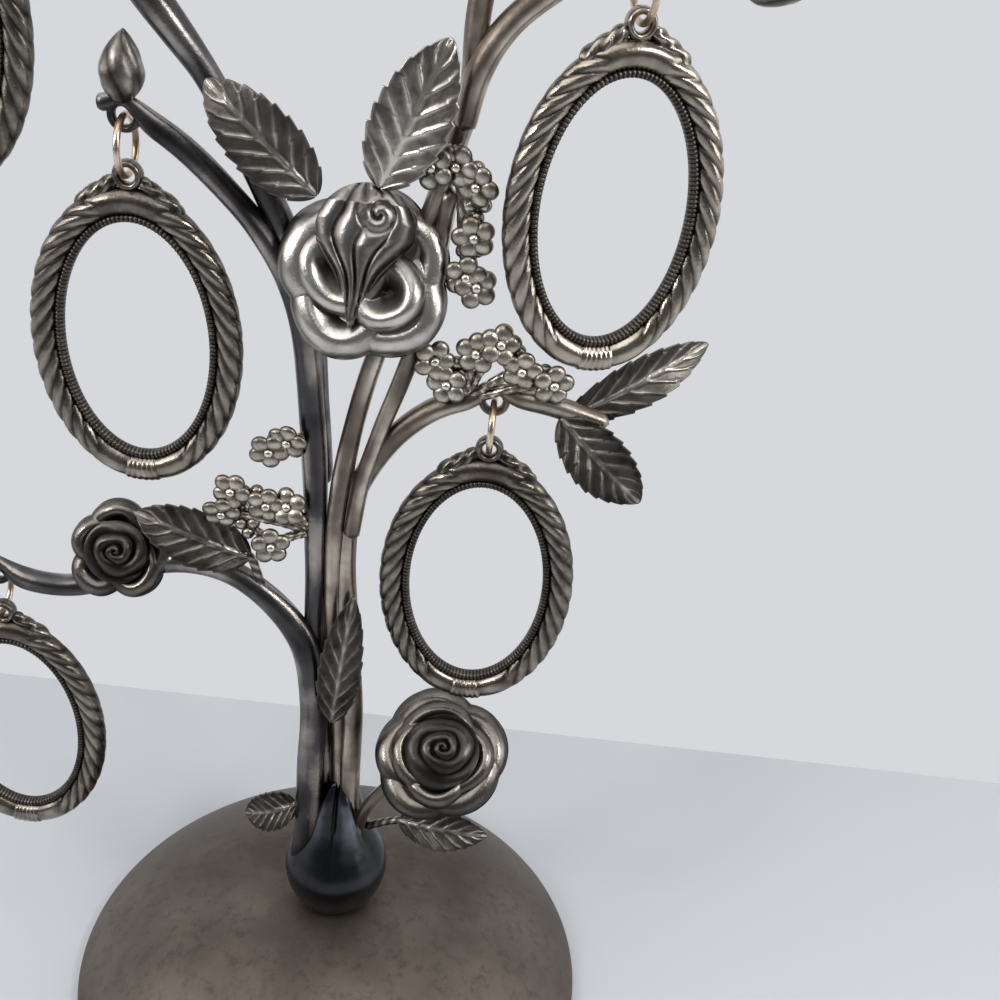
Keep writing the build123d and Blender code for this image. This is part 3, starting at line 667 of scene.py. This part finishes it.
def cupped(x, y, petals, heart=(0, 0)):
    """Height and wear of overlapping petals: discs rounded at the rim, most on the side away from the heart."""
    height, wear_and_highlight = 0 * x, 0 * x
    for cx, cy, radius, low, top, rim in petals:
        around = np.arctan2(y - cy, x - cx)
        away = np.arctan2(cy - heart[1], cx - heart[0])
        lip = 0.35 + 0.65 * (0.5 + 0.5 * np.cos(around - away)) ** 0.8
        ruffle = 1 + 0.025 * np.sin(3 * around + 2 * cx)
        inward = (radius * ruffle - np.hypot(x - cx, y - cy)) / rim
        bulge = np.sqrt(np.clip(1 - (1 - np.clip(inward, 0, 1)) ** 2, 0, 1))
        sink = np.clip((inward - 1) / 1.5, 0, 1)
        sink = sink**2 * (3 - 2 * sink)
        h = np.where(inward > 0, low + (top - low) * bulge * lip * (1 - 0.75 * sink), 0)
        wins = h > height
        height = np.where(wins, h, height)
        wear_and_highlight = np.where(wins, 0.08 + 0.74 * bulge * lip * (1 - 0.9 * sink), wear_and_highlight)
    return height, wear_and_highlight


def relief(place, middle, discs, field, floor, rows=80, cols=220):
    """A cast relief: a height field over a group of discs, with a flat back."""
    a = turned(cols)[None, :]
    mx, my = middle
    edge = edge_distance([(x - mx, y - my, r) for x, y, r in discs], a)
    s = np.linspace(0.01, 1, rows)[:, None] ** 0.8
    x, y = mx + s * edge * np.cos(a), my + s * edge * np.sin(a)
    height, wear_and_highlight = field(x, y)
    front = np.stack([x, y, np.maximum(height, floor + 0.4)], axis=-1)
    back = np.stack([x, y, floor + 0 * x], axis=-1)[::-1]
    return surface(placed(np.concatenate([front, back]), place), np.concatenate([wear_and_highlight, 0 * wear_and_highlight + 0.3]))


def ring_of(count, start, out, radius, low, top, rim):
    """Petals in a ring, each a little different and a little higher than the one before it."""
    made = []
    for k in range(count):
        a = np.radians(start + 9 * np.sin(2.1 * k + start)) + 2 * np.pi * k / count
        far = out * (1 + 0.14 * np.sin(2.4 * k + 1))
        size = radius * (1 + 0.05 * np.cos(1.7 * k + start))
        made.append((far * np.cos(a), far * np.sin(a), size, low, top + 0.35 * (k % 3), rim))
    return made


def rose_relief(name, stands_for, place, middle, floor, look, petals=(), heart=(0, 0), field=None, discs=()):
    """One layer of a rose as a piece of its own: cupped petals, or a height field over its own discs."""
    metal, slot = look
    made = field or (lambda x, y: cupped(x, y, petals, heart))
    shape = discs or [petal[:3] for petal in petals]
    piece(name, [relief(place, middle, shape, made, floor)], "stand", [stands_for], metal)


# The metal and the slot of each rose
bright_look = (bright_rose, "bright_rose")
dark_look = (dark_rose, "dark_rose")
small_look = (dark_rose, "bright_rose")

# Each petal: its place, radius, low and top height, and the width of its rounded rim
centre = rose_place((0.016, -0.15, 0.560), 15.0)
outside = [
    (1.5, 5.4, 9.6, 0.6, 3.2, 3.0), (5.6, 2.6, 9.0, 0.6, 3.6, 2.8), (4.6, -4.2, 10.2, 0.6, 4.6, 3.4),
    (-4.7, 1.6, 10.6, 0.6, 5.0, 4.0), (-3.0, -5.6, 9.8, 0.6, 5.6, 3.8),
]
rose_relief(
    "rose_centre_outside", "rose_centre_outer_petals", centre, (0, 0), 0.0, bright_look, outside, (0, 2)
)
inside = [(-3.4, 0.6, 8.2, 2.7, 6.2, 2.6), (4.0, -2.6, 7.2, 2.7, 7.2, 2.6)]
rose_relief(
    "rose_centre_inside", "rose_centre_middle_petals", centre, (0, -1), 1.3, bright_look, inside, (0, 5)
)


def flame(x, y):
    """Folds of the closed bud: they run down from a rolled tip and draw together in a point."""
    levels = [-9.2, -6.0, -3.0, 0.0, 3.0, 6.0, 9.0, 12.0, 14.0, 15.4]
    halves = [0.5, 1.5, 2.7, 4.4, 6.8, 8.8, 9.6, 8.8, 6.6, 2.5]
    half = np.interp(y, levels, halves)
    f = np.clip((x + 0.8 - 0.06 * y) / half, -1, 1)
    fold = np.abs(np.sin(np.pi * (2.3 * f + 0.22 * np.sin(0.45 * y + 2 * f)))) ** 0.55
    d = np.hypot(x - 2.6, y - 10.4)
    roll = np.abs(np.sin(1.25 * d + 0.5 * np.arctan2(y - 10.4, x - 2.6))) ** 0.6
    near = np.exp(-((d / 3.6) ** 4))
    ridges = fold * (1 - near) + roll * near
    body = np.sqrt(np.clip(1 - f**2, 0, 1)) ** 0.7
    rise = np.interp(y, [-9.2, -2, 5, 12, 15.4], [3.4, 4.6, 5.6, 5.2, 2.6])
    return 2.6 + rise * body + 1.0 * (ridges - 0.6), 0.10 + 0.42 * ridges + 0.10 * near


flame_discs = [(0.4, 6.6, 8.7), (-0.3, 1.0, 5.4), (-0.8, -3.4, 2.7), (-1.2, -6.6, 1.4), (-1.3, -8.4, 0.8)]
rose_relief(
    "rose_centre_folds", "rose_centre_heart", centre, (0, 4), 2.6, bright_look, field=flame, discs=flame_discs
)


def spiral(outer, low, top, turns):
    """A rolled heart: a ridge that winds outwards and gets wider, over a low cone."""
    def field(x, y):
        d = np.hypot((x - 0.08 * outer) / 1.06, (y - 0.07 * outer) / 0.94) / outer
        a = np.arctan2(y - 0.07 * outer, x - 0.08 * outer)
        k = (turns * d**0.6 - a / (2 * np.pi) + 0.07 * np.sin(3 * a + 4 * d) * np.clip(3 * d, 0, 1)) % 1
        ridge = np.clip(np.sin(np.pi * k**1.4), 0, 1) ** 0.6
        rise = 0.85 + 0.35 * np.sin(2 * a + 3 * d)
        cone = low + (top - low) * (1 - np.clip(d, 0, 1.2) ** 1.6)
        return cone + rise * (ridge - 0.8), 0.04 + 0.50 * ridge * (0.8 + 0.2 * rise)
    return field


lower = rose_place((0.275, -0.19, 0.171), 50.0)
rose_relief(
    "rose_low_outside", "rose_lower_right_outer_petals", lower, (0, 0), 0.0, dark_look,
    ring_of(5, 30, 4.8, 9.8, 0.4, 3.0, 3.0),
)
rose_relief(
    "rose_low_inside", "rose_lower_right_middle_petals", lower, (0, 0), 1.2, dark_look,
    ring_of(4, 5, 3.2, 8.4, 1.2, 5.0, 2.4),
)
rose_relief(
    "rose_low_spiral", "rose_lower_right_heart", lower, (0, 0), 2.4, dark_look,
    field=spiral(8.6, 5.2, 9.0, 3.6), discs=[(0.6, 0.4, 7.9), (-0.6, -0.3, 7.7)],
)

small = rose_place((-0.575, 0.00, 0.327), 25.0)
rose_relief(
    "rose_left_outside", "rose_left_outer_petals", small, (0, 0), 0.0, small_look,
    ring_of(5, 18, 5.0, 5.7, 0.4, 2.8, 2.2),
)
rose_relief(
    "rose_left_spiral", "rose_left_heart", small, (0, 0), 1.6, small_look,
    field=spiral(6.4, 3.6, 6.0, 3.0), discs=[(0, 0, 6.4)],
)


def bud_surface(at, pointing, size):
    """A closed bud with sepals wrapped round its lower half."""
    place = axes(spot(*at), (0, 1, 0), pointing)
    rows = smooth([(1.7, 0), (3.4, 2.3), (4.1, 5.4), (3.1, 8.8), (1.5, 11.4), (0.2, 12.8)], 8) * size
    a = turned(60)[None, :]
    up = rows[:, 1:] / rows[-1, 1]
    folds = np.abs(np.sin(2.5 * a + 5 * up)) ** 0.7 - 0.7
    grid = spun(rows, 60, 0.38 * size * folds * np.sin(np.pi * np.clip(up + 0.05, 0, 1)))
    return surface(placed(grid, place), 0.45 + 0.5 * folds)


for name, values in buds.items():
    piece("budwork_" + name, [bud_surface(*values)], "stand", ["bud_" + name], leaf_metal)
print("roses and buds made")

# %% [markdown]
# ## Sprays of small flowers
# Each flower has five beaded petals round a raised eye and stands on a thin knotted stalk.
# Neighbouring flowers are joined by a short stalk with three small buds.

# %% Sprays


def bead(centre, radii, place, rows=9, cols=14, worn=0.6):
    """A small flattened ball in local axes."""
    e = np.linspace(-1.45, 1.45, rows)[:, None]
    a = turned(cols)[None, :]
    grid = np.stack([
        centre[0] + radii[0] * np.cos(e) * np.cos(a),
        centre[1] + radii[1] * np.cos(e) * np.sin(a),
        centre[2] + radii[2] * np.sin(e) + 0 * a,
    ], axis=-1)
    return surface(placed(grid, place), worn + 0.4 * (np.sin(e) + 0 * a) - 0.2)


def flower_surfaces(centre, tilt_x, tilt_z, turn, size=1.18):
    """Five round petals, dished towards a bead in the middle."""
    facing = unit(np.array([tilt_x, -1.0, tilt_z]))
    place = axes(centre, (np.cos(turn), 0, np.sin(turn)), facing)
    made = [bead((0, 0, 1.5), (0.8 * size, 0.8 * size, 0.8), place, 10, 16, 0.7)]
    for k in range(5):
        a = 2 * np.pi * k / 5
        at = (1.85 * size * np.cos(a), 1.85 * size * np.sin(a), 0.8)
        made.append(bead(at, (1.5 * size, 1.5 * size, 1.0), place, 12, 20, 0.46))
    return made


chance = np.random.default_rng(11)
# Flowers nearer than this are joined, with buds at these places beside the middle of the stalk
bud_gap = 15.0
bud_places = ((1.3, 0.9), (-1.2, 0.5), (0.2, -1.5))
for name, (root, flowers) in sprays.items():
    made = []
    start = spot(*root)
    middles = [spot(x, 0, z) - [0, 2.4, 0] for x, z in flowers]
    for centre in middles:
        bend = (start + centre) / 2 + [0, -0.6, 0.8]
        made.append(stalk([start, bend, centre - [0, -0.4, 0]], 0.9, 0.18))
        made += flower_surfaces(centre, *chance.uniform(-0.35, 0.35, 2), chance.uniform(0, 1.2))
    for one, other in zip(middles, middles[1:]):
        if np.linalg.norm(one - other) < bud_gap:
            between = (one + other) / 2 + [0, 1.2, 0]
            made.append(stalk([one + [0, 0.8, 0], between, other + [0, 0.8, 0]], 0.8, 0.16))
            for x, z in bud_places:
                place = axes(between + [x, -0.6, z], (1, 0, 0), (0, -1, 0))
                made.append(bead((0, 0, 0), (1.35, 1.35, 1.2), place, 10, 16, 0.45))
    piece("blossom_" + name, made, "stand", ["spray_" + name], spray_silver)
print("sprays made")

# %% [markdown]
# ## Hanging frames
# The rim is a ring of slanting lobes like a laid rope, made by a cusped wave in the radius of its section.
# The strip inside it has fine milled ridges. A small triangular lug at the top holds the jump ring.

# %% Frames


def oval_path(half_x, half_z, count):
    """Points evenly spaced along an upright oval, with the length round it."""
    a = np.linspace(0, 2 * np.pi, 4000)
    line = np.stack([half_x * np.sin(a), 0 * a, -half_z * np.cos(a)], axis=-1)
    run = np.concatenate([[0], np.cumsum(np.linalg.norm(np.diff(line, axis=0), axis=1))])
    want = np.linspace(0, run[-1], count, endpoint=False)
    return np.stack([np.interp(want, run, line[:, k]) for k in range(3)], axis=-1), want, run[-1]


def rim_surface(pitch=4.0, lay=2.9):
    """Rope rim: its lobes slant inwards as they rise on both sides, and stop short of the bottom knot."""
    path, run, length = oval_path((frame_width - rim_width) / 2, (frame_height - rim_width) / 2, 720)
    b = turned(56)[None, :]
    u, v = np.cos(b), np.sin(b)
    rise = np.minimum(run, length - run)[:, None]
    front = np.clip(0.6 - 0.6 * u, 0.10, 1)
    phase = np.pi * rise / pitch - lay * v
    cusp = np.abs(np.sin(phase)) ** 0.55
    vein = 0.12 * np.exp(-(((phase / np.pi) % 1 - 0.62) / 0.07) ** 2)
    laid = np.clip((rise - 8.5) / 2.5, 0, 1) * np.clip((length / 2 - rise - 5.0) / 2.0, 0, 1)
    plain_lobe = np.sin(np.pi * np.clip((rise - 2.8) / 6.6, 0, 1)) * (rise < 9.4)
    knot = np.clip((3.0 - rise) / 0.5, 0, 1)
    wraps = np.abs(np.sin(np.pi * rise / 1.0)) ** 0.6 - 0.4
    wave = front * (laid * (cusp - 0.72 - vein) + 0.35 * plain_lobe + knot * (0.5 + 0.5 * wraps))
    grow = 1 + 0.20 * wave
    grid = sweep(path, rim_depth / 2 * u * grow, rim_width / 2 * v * grow * 0.98, (0, 1, 0), ring=True)
    return grid, 0.42 + 0.62 * wave * (1 - 0.6 * knot) + 0.12 * front - 0.15 * np.abs(v) ** 3


def strip_surface(pitch=0.78):
    """Milled strip: a sloping face whose ridges run across it."""
    inset = rim_width + 0.55
    path, run, length = oval_path(frame_width / 2 - inset, frame_height / 2 - inset, 1152)
    ridges = round(length / pitch)
    b = turned(16)[None, :]
    u, v = np.cos(b), np.sin(b)
    wave = np.abs(np.sin(np.pi * ridges * run[:, None] / length)) - 0.5
    shape = 1 + 0.16 * wave * (0.3 + 0.7 * np.clip(-u, 0, 1))
    depth = 1.25 * np.sign(u) * np.abs(u) ** 0.8 * shape
    width = 0.78 * np.sign(v) * np.abs(v) ** 0.8 * shape
    return sweep(path, depth, width, (0, 1, 0), ring=True), 0.35 + 0.5 * wave


def lug_surfaces():
    """An eye ring on a small peak, with a shoulder on each side: grids, wear, and whether they close."""
    top = frame_height / 2
    eye = top + lug_height - eye_drop
    a = turned(40)
    ring = np.stack([2.0 * np.cos(a), 0 * a, eye + 2.0 * np.sin(a)], axis=-1)
    b = turned(16)[None, :]
    flat = 0 * a[:, None]
    eye_ring = sweep(ring, 1.35 * np.cos(b) + flat, 0.72 * np.sin(b) + flat, (0, 1, 0), ring=True)
    made = [(eye_ring, 0.55 + flat + 0 * b, True)]
    for side in (-1, 1):
        shoulder = [(side * x, 0, top + z) for x, z in ((9.4, -4.6), (6.4, -2.0), (3.9, -0.2), (1.9, 1.8))]
        path = smooth(shoulder, 8)
        wide = rounded(np.linspace(1.7, 1.2, len(path)), 0.25)[:, None]
        c = turned(20)[None, :]
        fold = 0.12 * np.sin(4 * c + 0.8 * np.arange(len(path))[:, None])
        bar = sweep(path, wide * (1 + fold) * np.cos(c), wide * (1 + fold) * np.sin(c), (0, 1, 0))
        made.append((bar, 0.45 + 2 * fold, False))
    return made


rim_grid, rim_wear = rim_surface()
strip_grid, strip_wear = strip_surface()
lug_parts = lug_surfaces()


def jump_ring_surface(name):
    """Round wire bent into a ring with a small closing gap, hanging from its own top."""
    turn = np.radians(hangers[name][2])
    a = np.linspace(0, 2 * np.pi * 0.985, 90) + 1.2
    back = np.array([-np.sin(turn), np.cos(turn), 0])
    path = hang_point(name) + ring_radius * (np.sin(a)[:, None] * back + (np.cos(a)[:, None] - 1) * [0, 0, 1])
    side = [np.cos(turn), np.sin(turn), 0]
    wear_and_highlight = 0.6 + 0.2 * np.sin(3 * a)[:, None] + 0 * turned(16)[None, :]
    return tube(path, np.full(len(a), ring_wire), 16, 0.0, wear_and_highlight, towards=side)


# The upper right rim and lug get a painted highlight: their wear value is lifted most
frame_painted_highlight = {"upper_right": 0.16, "middle_left": 0.0}
other_shine = -0.04
for name in hangers:
    turn = np.radians(hangers[name][2])
    drop = 2 * ring_radius + frame_height / 2 + lug_height - eye_drop
    rows = np.array([[np.cos(turn), np.sin(turn), 0], [-np.sin(turn), np.cos(turn), 0], [0, 0, 1]])
    place = (hang_point(name) - [0, 0, drop], rows)
    # Each frame's lift of its wear value; on the upper right frame it is a painted highlight
    extra = frame_painted_highlight.get(name, other_shine)
    rim = [surface(placed(rim_grid, place), rim_wear + extra, ring=True)]
    rim += [surface(placed(grid, place), wear_and_highlight + extra, closed) for grid, wear_and_highlight, closed in lug_parts]
    piece("rope_rim_" + name, rim, "frame_" + name, ["frame_rim_" + name], frame_metal)
    strip = [surface(placed(strip_grid, place), strip_wear, ring=True)]
    piece("strip_" + name, strip, "frame_" + name, ["frame_bezel_" + name], bezel_metal)
    wire = [jump_ring_surface(name)]
    piece("wire_ring_" + name, wire, "ring_" + name, ["jump_ring_" + name], ring_brass)
print("frames made")

# %% [markdown]
# ## Stage, light and camera
# The stand is on a pale table in soft light, and the world behind it is pale.
# A wall at the table's back edge lights the metal. The camera sees through it, so the back is open to view.
# The camera looks down at it from the front, slightly rolled, as the photographer held it.

# %% Stage, light and camera


def board(name, corners, material):
    """A flat four-cornered board of the stage."""
    mesh = bpy.data.meshes.new(name)
    mesh.from_pydata([[c * mm for c in corner] for corner in corners], [], [(0, 1, 2, 3)])
    obj = bpy.data.objects.new(name, mesh)
    bpy.context.collection.objects.link(obj)
    mesh.materials.append(material)
    return obj


wall_depth, half_room, room_height = 95.0, 1500.0, 1600.0
left, right, front, back = -half_room, half_room, -half_room, wall_depth
floor = plain("pale_table", "#b6b9bd", 0.45)
wall = plain("pale_wall", "#e6e7e9", 0.7)
board("table", [(left, front, 0), (right, front, 0), (right, back, 0), (left, back, 0)], floor)
upright = [(left, back, 0), (right, back, 0), (right, back, room_height), (left, back, room_height)]
board("wall", upright, wall).visible_camera = False


def area_light(name, at, aim, width, power, tint="#ffffff"):
    """A soft square light at a place, turned towards a point, in millimetres and watts."""
    data = bpy.data.lights.new(name, "AREA")
    data.shape = "SQUARE"
    data.size = width * mm
    data.energy = power
    data.color = colour(tint)[:3]
    obj = bpy.data.objects.new(name, data)
    bpy.context.collection.objects.link(obj)
    at, aim = np.array(at) * mm, np.array(aim) * mm
    back = unit(at - aim)
    side = unit(np.cross([0, 0, 1], back) + [1e-6, 0, 0])
    up = np.cross(back, side)
    obj.matrix_world = Matrix([[side[k], up[k], back[k], at[k]] for k in range(3)] + [[0, 0, 0, 1]])
    return obj


def camera_at(at, pitch, roll, lens):
    """A camera that looks along +Y, tipped down by a pitch and rolled."""
    p, r = np.radians([pitch, roll])
    forward = np.array([0, np.cos(p), -np.sin(p)])
    right = np.array([1.0, 0, 0])
    up = np.cross(right, forward)
    x = right * np.cos(r) + up * np.sin(r)
    y = -right * np.sin(r) + up * np.cos(r)
    data = bpy.data.cameras.new("camera")
    data.sensor_width = 36.0
    data.lens = lens
    data.clip_start = 0.01
    obj = bpy.data.objects.new("camera", data)
    bpy.context.collection.objects.link(obj)
    obj.matrix_world = Matrix([[x[k], y[k], -forward[k], at[k] * mm] for k in range(3)] + [[0, 0, 0, 1]])
    bpy.context.scene.camera = obj
    return obj


area_light("ceiling", (-150, -250, 1150), (0, 0, 120), 1300, 10.5)
area_light("window_left", (-900, -250, 500), (0, 0, 150), 600, 3.0)
area_light("window_right", (900, -150, 420), (0, 0, 150), 500, 3.2)
area_light("glint_right", (420, -260, 520), (10, 0, 160), 110, 1.2)
area_light("glint_left", (-380, -330, 420), (0, 0, 150), 90, 0.8)
camera_at((28.973, -202.006, 251.282), 29.531, 6.298, 43.2)

world = bpy.data.worlds.new("soft_room")
world.use_nodes = True
bpy.context.scene.world = world
# The camera sees a pale backdrop, and everything else is lit by a dimmer room
tree = world.node_tree
room = tree.nodes["Background"]
room.inputs["Color"].default_value = colour("#bcbdbf")
room.inputs["Strength"].default_value = 0.27
backdrop = tree.nodes.new("ShaderNodeBackground")
backdrop.inputs["Color"].default_value = colour("#d6d8dc")
rays = tree.nodes.new("ShaderNodeLightPath")
seen = tree.nodes.new("ShaderNodeMixShader")
tree.links.new(rays.outputs["Is Camera Ray"], seen.inputs[0])
tree.links.new(room.outputs[0], seen.inputs[1])
tree.links.new(backdrop.outputs[0], seen.inputs[2])
tree.links.new(seen.outputs[0], tree.nodes["World Output"].inputs["Surface"])
bpy.context.scene.view_settings.view_transform = "Standard"
print("stage, lights and camera made")
